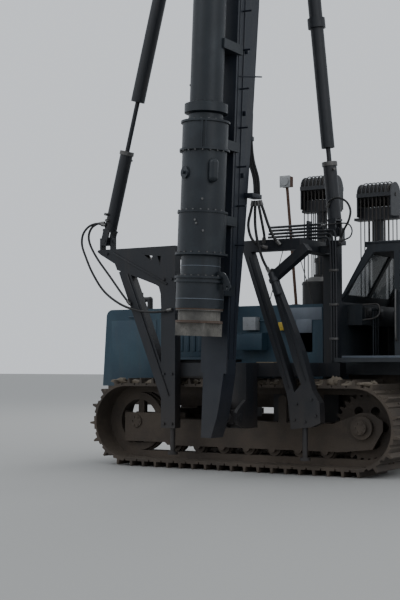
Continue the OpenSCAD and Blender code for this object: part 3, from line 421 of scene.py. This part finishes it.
# Side boxes: lids with hinge pins on the blue ones, and a skin of tan, pale and
# yellow paint round the three small ones of the hydraulics.
tan_paint = finish("tan_paint", (0.16, 0.13, 0.085), (0.11, 0.09, 0.065), (0.07, 0.055, 0.04),
                   (0.24, 0.22, 0.18), rough=0.6)
pale_paint = finish("pale_paint", (0.34, 0.36, 0.38), (0.22, 0.23, 0.24), (0.08, 0.07, 0.06),
                    (0.30, 0.29, 0.27), rough=0.5)
yellow_paint = finish("yellow_paint", (0.50, 0.36, 0.03), (0.34, 0.24, 0.04), (0.08, 0.06, 0.04),
                      (0.30, 0.27, 0.2), rough=0.5)
for name, low, high, paint in (
    ("tan_box_paint", (-0.168, -0.6435, 1.287), (0.113, -0.4815, 1.463), tan_paint),
    ("pale_box_paint", (-0.403, -0.6135, 1.917), (-0.197, -0.4815, 2.103), pale_paint),
    ("yellow_box_paint", (0.147, -0.5735, 1.907), (0.233, -0.4815, 2.023), yellow_paint),
):
    settle(slab(at(*low), at(*high), 0.003), name, "tractor", paint)
parts = [slab(at(-0.48, -0.659, 1.63), at(-0.07, -0.6505, 1.86), 0.003),
         slab(at(-0.50, -0.639, 1.28), at(-0.18, -0.6305, 1.445), 0.003)]
for x in (-0.42, -0.13):
    parts.append(rod(at(x - 0.03, -0.655, 1.868), at(x + 0.03, -0.655, 1.868), 0.008))
settle(weld(parts), "box_lids", "tractor", hood_blue)

# Cab: folded sheet over a welded frame, blue-black, with clear panes that
# have gone grey with dust.
cab_paint = finish("cab_paint", (0.010, 0.014, 0.019), (0.02, 0.027, 0.034), (0.055, 0.045, 0.036),
                   (0.13, 0.13, 0.125), rough=0.5, chips=0.5, runs=0.3, dusty=0.45, muddy=0.3)
dress(cab_paint, "cab_floor", "cab_front", "cab_sides", "cab_rear", "cab_roof", "cab_door", "levers",
      "fenders", "grille")
seat_vinyl = finish("seat_vinyl", (0.012, 0.012, 0.013), (0.02, 0.019, 0.018), (0.05, 0.045, 0.04),
                    (0.09, 0.085, 0.08), rough=0.45, muddy=0.0, bump=0.3)
dress(seat_vinyl, "seat")
pane = bpy.data.materials.new("dusty_pane")
pane.use_nodes = True
pane_nodes, pane_links = pane.node_tree.nodes, pane.node_tree.links
pane_shader = pane_nodes["Principled BSDF"]
pane_masks = pane_nodes.new("ShaderNodeGroup")
pane_masks.node_tree = wear
pane_rough = pane_nodes.new("ShaderNodeMapRange")
pane_rough.inputs["To Min"].default_value = 0.12
pane_rough.inputs["To Max"].default_value = 0.5
pane_links.new(pane_masks.outputs["Patches"], pane_rough.inputs["Value"])
pane_links.new(pane_rough.outputs["Result"], pane_shader.inputs["Roughness"])
pane_shader.inputs["Base Color"].default_value = (0.16, 0.185, 0.20, 1.0)
pane_shader.inputs["Alpha"].default_value = 0.72
pane_shader.inputs["IOR"].default_value = 1.45
dress(pane, "cab_glass")

# Cab trim: rubber strips round the sloped panes, a pale sill strip, a gutter,
# dials, a rail round the console and a grab rail, bent and screwed on.
bare_steel = finish("bare_steel", (0.14, 0.14, 0.14), (0.09, 0.085, 0.08), (0.10, 0.065, 0.045),
                    (0.2, 0.19, 0.18), rough=0.4, metal=0.7, bump=0.2)
rubber = finish("rubber", (0.008, 0.008, 0.009), (0.015, 0.015, 0.016), (0.03, 0.028, 0.026),
                (0.08, 0.078, 0.07), rough=0.55, chips=0.3, runs=0.15, dusty=0.45, muddy=0.2, bump=0.2)


def course(points, steps=6):
    # A smooth line through the given points.
    line = []
    ends = [points[0] * 2 - points[1]] + list(points) + [points[-1] * 2 - points[-2]]
    for a, b, c, d in zip(ends, ends[1:], ends[2:], ends[3:]):
        for k in range(steps):
            t = k / steps
            bow = (2 * a - 5 * b + 4 * c - d) * t * t + (3 * b - a - 3 * c + d) * t ** 3
            line.append(0.5 * (2 * b + (c - a) * t + bow))
    return line + [points[-1]]


def pipe(name, points, radius, body, material, steps=6):
    # A tube of one radius along a smooth line, with the length of that line.
    line = course(points, steps)
    data = bpy.data.curves.new(name, "CURVE")
    data.dimensions = "3D"
    data.bevel_depth = radius
    data.bevel_resolution = 2
    data.use_fill_caps = True
    spline = data.splines.new("POLY")
    spline.points.add(len(line) - 1)
    for node, point in zip(spline.points, line):
        node.co = (*point, 1.0)
    tube = bpy.data.objects.new(name, data)
    bpy.context.scene.collection.objects.link(tube)
    data.materials.append(material)
    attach(tube, body)
    return tube, sum((b - a).length for a, b in zip(line, line[1:]))


parts = []
sheet_x, slope_run, slope_rise = 1.2 + 0.022, 0.43, 0.72
for y0, y1 in ((-0.715, -0.04), (0.04, 0.715)):
    low = at(sheet_x + 0.09 / slope_rise * slope_run, y0, 2.36)
    high = at(sheet_x + 0.65 / slope_rise * slope_run, y0, 2.92)
    across = Vector((0.0, y1 - y0, 0.0))
    for a, b in ((low, high), (low + across, high + across), (low, low + across), (high, high + across)):
        parts.append(rod(a, b, 0.011, 8))
settle(weld(parts), "pane_strips", "tractor", rubber)
parts = [slab(at(1.205, -0.836, 1.515), at(2.855, -0.8203, 1.545), 0.003),
         slab(at(1.205, 0.8203, 1.515), at(2.855, 0.836, 1.545), 0.003)]
settle(weld(parts), "sill_strips", "tractor", grey_sheet)
parts = [slab(at(1.61, -0.834, 3.035), at(2.86, -0.8203, 3.062), 0.003),
         slab(at(1.61, 0.8203, 3.035), at(2.86, 0.834, 3.062), 0.003)]
settle(weld(parts), "gutters", "tractor", cab_paint)
console_bends = ((1.455, 2.03), (1.60, 2.045), (1.69, 2.09), (1.71, 2.17), (1.68, 2.235), (1.56, 2.24),
                 (1.455, 2.235))
pipe("console_rail", [at(x, -0.60, z) for x, z in console_bends], 0.011, "tractor", bare_steel)
grab_bends = ((-0.820, 1.75), (-0.865, 1.80), (-0.865, 2.35), (-0.820, 2.40))
pipe("grab_rail", [at(2.045, y, z) for y, z in grab_bends], 0.012, "tractor", bare_steel)
parts = [slab(at(1.47, -0.55, 2.05), at(1.49, -0.36, 2.2), 0.004),
         slab(at(1.47, -0.25, 2.05), at(1.49, 0.05, 2.2), 0.004)]
for y in (-0.5, -0.41, -0.2, -0.11, -0.02):
    parts.append(rod(at(1.485, y, 2.125), at(1.497, y, 2.125), 0.032, 20))
against_console = Matrix.Translation((-0.0095, 0.0, 0.0))
settle(weld(parts), "dials", "tractor", engine_grime, place=against_console)

# Side frame, cross beams and stay struts: welded box sections in a blue-black
# paint, greasy, with rust at the edges; the sheaves are bare steel.
frame_paint = finish("frame_paint", (0.006, 0.008, 0.012), (0.011, 0.013, 0.018), (0.045, 0.030, 0.023),
                     (0.075, 0.075, 0.07), mud=(0.055, 0.043, 0.033), rough=0.46, chips=0.5, runs=0.35,
                     dusty=0.35, muddy=0.4)
dress(frame_paint, "base_frame", "front_bracket", "rear_bracket", "foot_bracket", "strut_post",
      "front_jack", "rear_jack", "hoist_barrels", "hydraulic_pipes", "mast_cross", "front_fork",
      "rear_fork", "front_strut_lower", "rear_strut_lower", "front_strut_upper", "rear_strut_upper",
      "front_block", "rear_block")
rust_paint = finish("rust_paint", (0.07, 0.034, 0.02), (0.11, 0.06, 0.038), (0.05, 0.03, 0.022),
                    (0.14, 0.11, 0.09), rough=0.75, chips=0.7, bump=0.5)
dress(rust_paint, "work_lamp")
sheave_steel = finish("sheave_steel", (0.03, 0.03, 0.031), (0.05, 0.048, 0.045), (0.09, 0.07, 0.055),
                      (0.12, 0.115, 0.105), rough=0.45, metal=0.5, bump=0.3)
dress(sheave_steel, "back_sheaves", "nose_sheaves", "front_sheaves", "rear_sheaves")

# Bracket trim: edge flanges welded along both brackets, bolts at the joints,
# and the clamped tube at the rear bracket's top.


def flange(start, end, y, depth, width, bevel):
    # A strip from one (x, z) point of a bracket's edge to another.
    p, q = at(start[0], y, start[1]), at(end[0], y, end[1])
    half = (q - p).length / 2
    strip = slab(Vector((-half, depth[0], -width / 2)), Vector((half, depth[1], width / 2)), bevel)
    slope = Matrix.Rotation(-math.atan2(q.z - p.z, q.x - p.x), 4, "Y")
    strip.matrix_world = Matrix.Translation((p + q) / 2) @ slope @ strip.matrix_world
    return strip


def bracket_bolts(spots):
    # A hexagon head at each (x, z) point of a bracket's outer face.
    return [rod(at(x, -1.779, z), at(x, -1.80, z), 0.020, 6) for x, z in spots]


parts = [flange((-1.85, 3.006), (-0.93, 2.53), -1.787, (-0.008, 0.0075), 0.028, 0.003),
         flange((-1.60, 2.70), (-0.90, 1.0), -1.787, (-0.008, 0.0075), 0.020, 0.003)]
parts += bracket_bolts(((-1.95, 3.0), (-0.98, 2.6), (-0.85, 2.6), (-0.98, 0.62), (-0.85, 0.62),
                        (-0.98, 1.30), (-0.85, 1.30)))
settle(weld(parts), "front_bracket_trim", "tractor", frame_paint)
parts = [flange((0.36, 2.84), (0.95, 1.12), -1.786, (-0.006, 0.0065), 0.016, 0.002),
         flange((0.80, 2.30), (1.19, 1.22), -1.786, (-0.006, 0.0065), 0.016, 0.002)]
parts += bracket_bolts(((1.03, 0.72), (1.33, 0.78), (1.18, 0.70), (1.06, 0.92), (1.27, 0.98)))
parts.append(rod(at(0.705, -1.80, 2.62), at(0.815, -1.80, 2.33), 0.046, 20))
parts.append(rod(at(0.735, -1.80, 2.545), at(0.752, -1.80, 2.50), 0.062, 20))
settle(weld(parts), "rear_bracket_trim", "tractor", frame_paint)

# Strut trim: a gland ring and a hose fitting at the top of each lower barrel,
# and two fittings near the foot, turned steel screwed on.
lean = Matrix.Rotation(math.radians(2.3), 4, "Y")
mast_frame = Matrix.Translation(at(0.27, 0.0, 0.75)) @ lean


def along(start, end):
    # Frame with its Z axis from the start towards the end.
    return Matrix.Translation(start) @ (end - start).to_track_quat("Z", "Y").to_matrix().to_4x4()


def turned(z0, z1, radius):
    # A turned ring or pin on the strut's own axis.
    return rod(Vector((0.0, 0.0, z0)), Vector((0.0, 0.0, z1)), radius, 32)


front_foot, front_head = at(-1.99, -1.71, 3.18), mast_frame @ Vector((-0.26, -1.80, 11.65))
rear_foot, rear_head = at(1.33, -1.15, 3.18), mast_frame @ Vector((0.02, -1.80, 11.65))
for side, foot, head, end in (("front", front_foot, front_head, 1.30), ("rear", rear_foot, rear_head, 0.92)):
    collar, barrel = turned(end - 0.045, end + 0.006, 0.103), turned(end - 0.1, end + 0.1, 0.0905)
    cap, bore = turned(end + 0.0003, end + 0.012, 0.1), turned(end - 0.1, end + 0.1, 0.0335)
    for piece, cutter in ((collar, barrel), (cap, bore)):
        cut = piece.modifiers.new("bore", "BOOLEAN")
        cut.operation = "DIFFERENCE"
        cut.object = cutter
        bpy.ops.object.select_all(action="DESELECT")
        bpy.context.view_layer.objects.active = piece
        bpy.ops.object.modifier_apply(modifier="bore")
        bpy.data.objects.remove(cutter)
    parts = [collar, cap, rod(Vector((0.095, 0.0, end - 0.1)), Vector((0.15, 0.0, end - 0.1)), 0.016)]
    for y, z in ((0.0, 0.30), (0.04, 0.38)):
        parts.append(rod(Vector((-0.088, y, z)), Vector((-0.15, y, z)), 0.02))
    settle(weld(parts), side + "_glands", side + "_strut_lower", bare_steel, place=along(foot, head))

# Hoses: black rubber over wire with a steel ferrule at both ends, bowed as such
# stiff lines are: two at the front strut's foot, four between the mast and the
# rear portal, two loops at the rear strut.
black_hose = [
    ("hose_front_a", 0.017, [(-1.97, -1.80, 3.406), (-2.10, -1.82, 3.435), (-2.235, -1.84, 3.40),
                             (-2.325, -1.86, 3.29), (-2.335, -1.87, 3.14), (-2.259, -1.88, 2.96),
                             (-2.134, -1.88, 2.72), (-1.94, -1.87, 2.46), (-1.67, -1.86, 2.275),
                             (-1.40, -1.845, 2.18), (-1.173, -1.84, 2.15), (-0.98, -1.825, 2.155),
                             (-0.84, -1.80, 2.18)]),
    ("hose_front_b", 0.017, [(-1.984, -1.80, 3.44), (-2.10, -1.81, 3.435), (-2.205, -1.82, 3.375),
                             (-2.25, -1.825, 3.26), (-2.21, -1.83, 3.12), (-2.081, -1.83, 2.92),
                             (-1.868, -1.83, 2.67), (-1.66, -1.83, 2.42), (-1.53, -1.81, 2.266)]),
    ("hose_portal_a", 0.019, [(0.545, -1.98, 3.555), (0.51, -1.98, 3.42), (0.47, -1.98, 3.25),
                              (0.49, -1.95, 3.09), (0.56, -1.89, 2.98), (0.65, -1.80, 2.95)]),
    ("hose_portal_b", 0.019, [(0.58, -1.98, 3.555), (0.565, -1.97, 3.4), (0.56, -1.95, 3.2),
                              (0.58, -1.92, 3.0), (0.62, -1.87, 2.8), (0.68, -1.80, 2.63)]),
    ("hose_portal_c", 0.019, [(0.615, -1.98, 3.555), (0.63, -1.96, 3.42), (0.64, -1.90, 3.22),
                              (0.63, -1.84, 3.1), (0.60, -1.80, 3.02)]),
    ("hose_portal_d", 0.019, [(0.64, -1.97, 3.555), (0.68, -1.94, 3.41), (0.72, -1.89, 3.23),
                              (0.77, -1.84, 3.08), (0.84, -1.80, 2.98)]),
    ("hose_loop", 0.015, [(1.262, -1.268, 3.50), (1.31, -1.31, 3.57), (1.43, -1.32, 3.61),
                          (1.56, -1.32, 3.55), (1.62, -1.32, 3.43), (1.59, -1.31, 3.30),
                          (1.51, -1.28, 3.19), (1.45, -1.245, 3.10), (1.42, -1.22, 3.03)]),
    ("hose_flat_loop", 0.010, [(1.19, -1.30, 3.255), (1.36, -1.30, 3.268), (1.53, -1.305, 3.268),
                               (1.603, -1.305, 3.238), (1.633, -1.30, 3.165), (1.603, -1.29, 3.092),
                               (1.53, -1.27, 3.062), (1.43, -1.23, 3.045)]),
]
for name, radius, points in black_hose:
    hose, length = pipe(name, [at(*p) for p in points], radius, "tractor", rubber)
ends = []
for name, radius, points in black_hose:
    for tip, inner in ((points[0], points[1]), (points[-1], points[-2])):
        start = at(*tip)
        ends.append(rod(start, start + (at(*inner) - start).normalized() * 0.07, radius + 0.008, 8))
settle(weld(ends), "hose_ferrules", "tractor", bare_steel)

# Portal pipes' ends: rigid steel lines that bend down from the portal and run
# along the strut's post to the cross beam, clipped to the post.
post_face = -1.233
for i, (x, y, z) in enumerate(((1.30, -1.29, 3.10), (1.335, -1.276, 3.146), (1.37, -1.262, 3.192))):
    bends = [at(1.185, y, z), at(x - 0.05, y, z), at(x, y, z - 0.05), at(x, -1.250, z - 0.3),
             at(x, post_face, 2.5), at(x, post_face, 1.47)]
    pipe("portal_pipe_%d" % i, bends, 0.015, "tractor", frame_paint)
parts = [slab(at(1.275, -1.256, z), at(1.395, -1.2095, z + 0.03), 0.003) for z in (1.75, 2.2, 2.65)]
settle(weld(parts), "pipe_clips", "tractor", bare_steel)

# Hoist ropes: steel wire, eight falls each side of a block from its sheaves
# down to the anchor bar on the cross beams, drawn tight.
rope_steel = finish("rope_steel", (0.03, 0.028, 0.027), (0.05, 0.045, 0.04), (0.09, 0.06, 0.045),
                    (0.10, 0.095, 0.085), rough=0.6, metal=0.4, muddy=0.2, bump=0.4)
rope_radius, groove_radius, hoist_y = 0.009, 0.160, 1.0


def ring(centre, radius, wire, turn=(0.0, 0.0, 0.0), around=64, sides=6):
    # A closed round wire about a centre.
    bpy.ops.object.select_all(action="DESELECT")
    bpy.ops.mesh.primitive_torus_add(major_radius=radius, minor_radius=wire, major_segments=around,
                                     minor_segments=sides, location=centre, rotation=turn)
    return bpy.context.object


for side, x, z in (("front", 0.07, 4.125), ("rear", 1.01, 3.945)):
    parts, turns = [], []
    falls_y = [hoist_y - groove_radius, hoist_y + groove_radius]
    for k in range(8):
        rope_x = x + (k - 3.5) * 0.063
        for y in falls_y:
            parts.append(rod(at(rope_x, y, 1.50), at(rope_x, y, z - 0.03), rope_radius, 8))
        turns.append(ring(at(rope_x, hoist_y, z), groove_radius, rope_radius, (0.0, math.pi / 2, 0.0), 40, 8))
    for y in falls_y:
        parts.append(slab(at(x - 0.27, y - 0.03, 1.4503), at(x + 0.27, y + 0.03, 1.52), 0.006))
    falls = settle(weld(parts), side + "_hoist_falls", None, rope_steel)
    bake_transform(falls)
    settle(weld(turns), side + "_sheave_turns", side + "_block", rope_steel, smooth=60.0)

# Work lamp: a pressed reflector with a glass front on the pole, and two wire
# stays down to the hood.
lamp_shell = finish("lamp_shell", (0.30, 0.31, 0.32), (0.20, 0.20, 0.20), (0.08, 0.06, 0.05),
                    (0.3, 0.29, 0.27), rough=0.4, metal=0.3)
lamp_head = at(0.15, -0.30, 4.05)
parts = [slab(lamp_head + Vector((-0.085, -0.062, -0.085)),
              lamp_head + Vector((0.085, -0.0555, 0.085)), 0.003)]
parts.append(rod(lamp_head + Vector((0.0, -0.062, 0.0)), lamp_head + Vector((0.0, -0.075, 0.0)), 0.06, 24))
settle(weld(parts), "lamp_front", "tractor", lamp_shell)
for i, x in enumerate((0.62, -0.10)):
    stay = rod(at(0.20, -0.302, 3.44), at(x, -0.40, 2.2703), 0.006, 8)
    settle(stay, "lamp_stay_%d" % i, "tractor", rope_steel)

# Mast: a tall welded box girder with guide rails at its outer corners, in the
# same blue-black paint as the side frame, greasy and a little rusted.
mast_paint = finish("mast_paint", (0.006, 0.010, 0.018), (0.011, 0.016, 0.026), (0.042, 0.034, 0.03),
                    (0.07, 0.074, 0.078), mud=(0.045, 0.038, 0.032), rough=0.43, chips=0.35, runs=0.35,
                    dusty=0.3, muddy=0.4)
dress(mast_paint, "mast", "mast_rails", "mast_pegs", "mast_head")

# Mast trim: stiffening strips and bolted joint plates up both sides, eyes and a
# cross bar on the rear side, welded steel, and two clamps that hold the three
# rubber lines.
parts = []
for outward in (-1.0, 1.0):
    x0, x1 = sorted((outward * 0.1495, outward * 0.158))
    for y in (-2.45, -2.33):
        parts.append(slab(Vector((x0, y - 0.012, 0.75)), Vector((x1, y + 0.012, 17.1)), 0.002))
    for z in (5.6, 10.4, 14.6):
        parts.append(slab(Vector((x0 - 0.002, -2.47, z - 0.16)),
                          Vector((x1 + 0.002, -2.28, z + 0.16)), 0.003))
        for y in (-2.45, -2.31):
            for dz in (-0.11, -0.04, 0.04, 0.11):
                root = Vector((outward * 0.158, y, z + dz))
                parts.append(rod(root, Vector((outward * 0.176, y, z + dz)), 0.014, 6))
for z in (3.1, 3.9, 4.7, 7.4, 9.0):
    parts.append(slab(Vector((0.149, -2.30, z - 0.03)), Vector((0.19, -2.272, z + 0.03)), 0.004))
parts.append(rod(Vector((0.149, -2.44, 4.35)), Vector((0.396, -2.27, 4.356)), 0.010))
settle(weld(parts), "mast_trim", "mast", mast_paint, place=mast_frame)
for x0, x1, y0, y1, z in ((0.150, 0.275, -2.20, -1.95, 2.86), (0.03, 0.15, -2.08, -1.985, 3.62)):
    clamp = slab(Vector((x0, y0, z - 0.03)), Vector((x1, y1, z + 0.03)), 0.006)
    settle(clamp, "mast_clamp_%d" % round(z), "mast", mast_paint, place=mast_frame)
for i, (top_x, low_x) in enumerate(((0.055, 0.18), (0.09, 0.215), (0.125, 0.25))):
    line = [(top_x, -2.02, 3.95), (top_x, -2.01, 3.62), (top_x + 0.03, -1.995, 3.35),
            (low_x - 0.02, -1.985, 3.1), (low_x, -1.98, 2.87)]
    pipe("mast_line_%d" % i, [mast_frame @ Vector(point) for point in line], 0.016, "mast", rubber)

# Hammer rope: two falls of wire from the head's nose sheaves to the top claw,
# led over the sheaves to the rear pair and down into the girder.
sheave_z, wrap_radius = 17.58, 0.168
for i, x in enumerate((-0.038, 0.038)):
    low, high = Vector((x, -2.722, 4.7205)), Vector((x, -2.722, sheave_z))
    fall = settle(rod(low, high, 0.010, 8), "hammer_rope_%d" % i, None, rope_steel, place=mast_frame)
    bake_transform(fall)
    wrap = []
    for axle_y, angles in ((-2.89, range(0, 91, 15)), (-2.33, range(90, -1, -15))):
        for angle in map(math.radians, angles):
            wrap.append((x, axle_y + wrap_radius * math.cos(angle), sheave_z + wrap_radius * math.sin(angle)))
    wrap += [(x, -2.162, 16.0), (x, -2.162, 14.6)]
    pipe("head_rope_%d" % i, [mast_frame @ Vector(point) for point in wrap], 0.010, "mast", rope_steel, 2)

# Hammer: machined steel cylinders bolted flange to flange, dark grey-blue,
# blackened by soot and oil; the cast helmet under it is pale with dust.
hammer_paint = finish("hammer_paint", (0.009, 0.013, 0.018), (0.020, 0.027, 0.034), (0.007, 0.007, 0.008),
                      (0.085, 0.088, 0.09), rough=0.38, metal=0.2, chips=0.5, runs=0.7, dusty=0.35,
                      muddy=0.0, bump=0.35)
dress(hammer_paint, "hammer", "hammer_claws", "hammer_fittings")
ram_steel = finish("ram_steel", (0.12, 0.12, 0.12), (0.09, 0.088, 0.085), (0.05, 0.045, 0.04),
                   (0.1, 0.1, 0.1), rough=0.35, metal=0.9, muddy=0.0)
dress(ram_steel, "ram")
helmet_dust = finish("helmet_dust", (0.06, 0.058, 0.054), (0.19, 0.18, 0.16), (0.03, 0.028, 0.026),
                     (0.26, 0.25, 0.225), rough=0.8, patches=0.9, chips=0.8, runs=0.8, dusty=0.7,
                     muddy=0.1, bump=0.7)
dress(helmet_dust, "helmet")

# Hammer trim: bolt heads round each flange, grease plugs and two weld lines in
# steel, and rusty wear rings on the helmet's rims.
hammer_y, open_side, hung_flange = -2.95, -2.92, 3.31


def round_hammer(angle, radius, z):
    # A point at an angle and a radius about the hammer's axis.
    return Vector((radius * math.cos(angle), hammer_y + radius * math.sin(angle), z))


parts = []
for z, radius, count in ((2.046, 0.312, 20), (2.566, 0.302, 20), (hung_flange, 0.300, 20), (3.686, 0.262, 18),
                         (1.762, 0.285, 20)):
    head_up = -1.0 if z == hung_flange else 1.0
    for k in range(count):
        spot = round_hammer(2 * math.pi * (k + 0.5) / count, radius, z)
        if spot.y < open_side:
            parts.append(rod(spot, spot + Vector((0.0, 0.0, 0.014 * head_up)), 0.011, 6))
for z, degrees, radius in ((2.70, -60, 0.277), (2.44, -75, 0.298), (2.40, -72, 0.298), (2.31, -56, 0.298),
                           (4.156, -165, 0.207)):
    angle = math.radians(degrees)
    parts.append(rod(round_hammer(angle, radius, z), round_hammer(angle, radius + 0.018, z), 0.014, 8))
settle(weld(parts), "hammer_bolts", "hammer", bare_steel, place=mast_frame)
for name, body, material, wire, rings in (
    ("hammer_lines", "hammer", grey_sheet, 0.004, ((1.484, 0.298), (1.89, 0.246))),
    ("helmet_rim", "helmet", rust_paint, 0.005, ((1.196, 0.290), (1.212, 0.290), (1.358, 0.292))),
):
    made = [ring((0.0, hammer_y, z), radius, wire) for z, radius in rings]
    settle(weld(made), name, body, material, place=mast_frame, smooth=60.0)
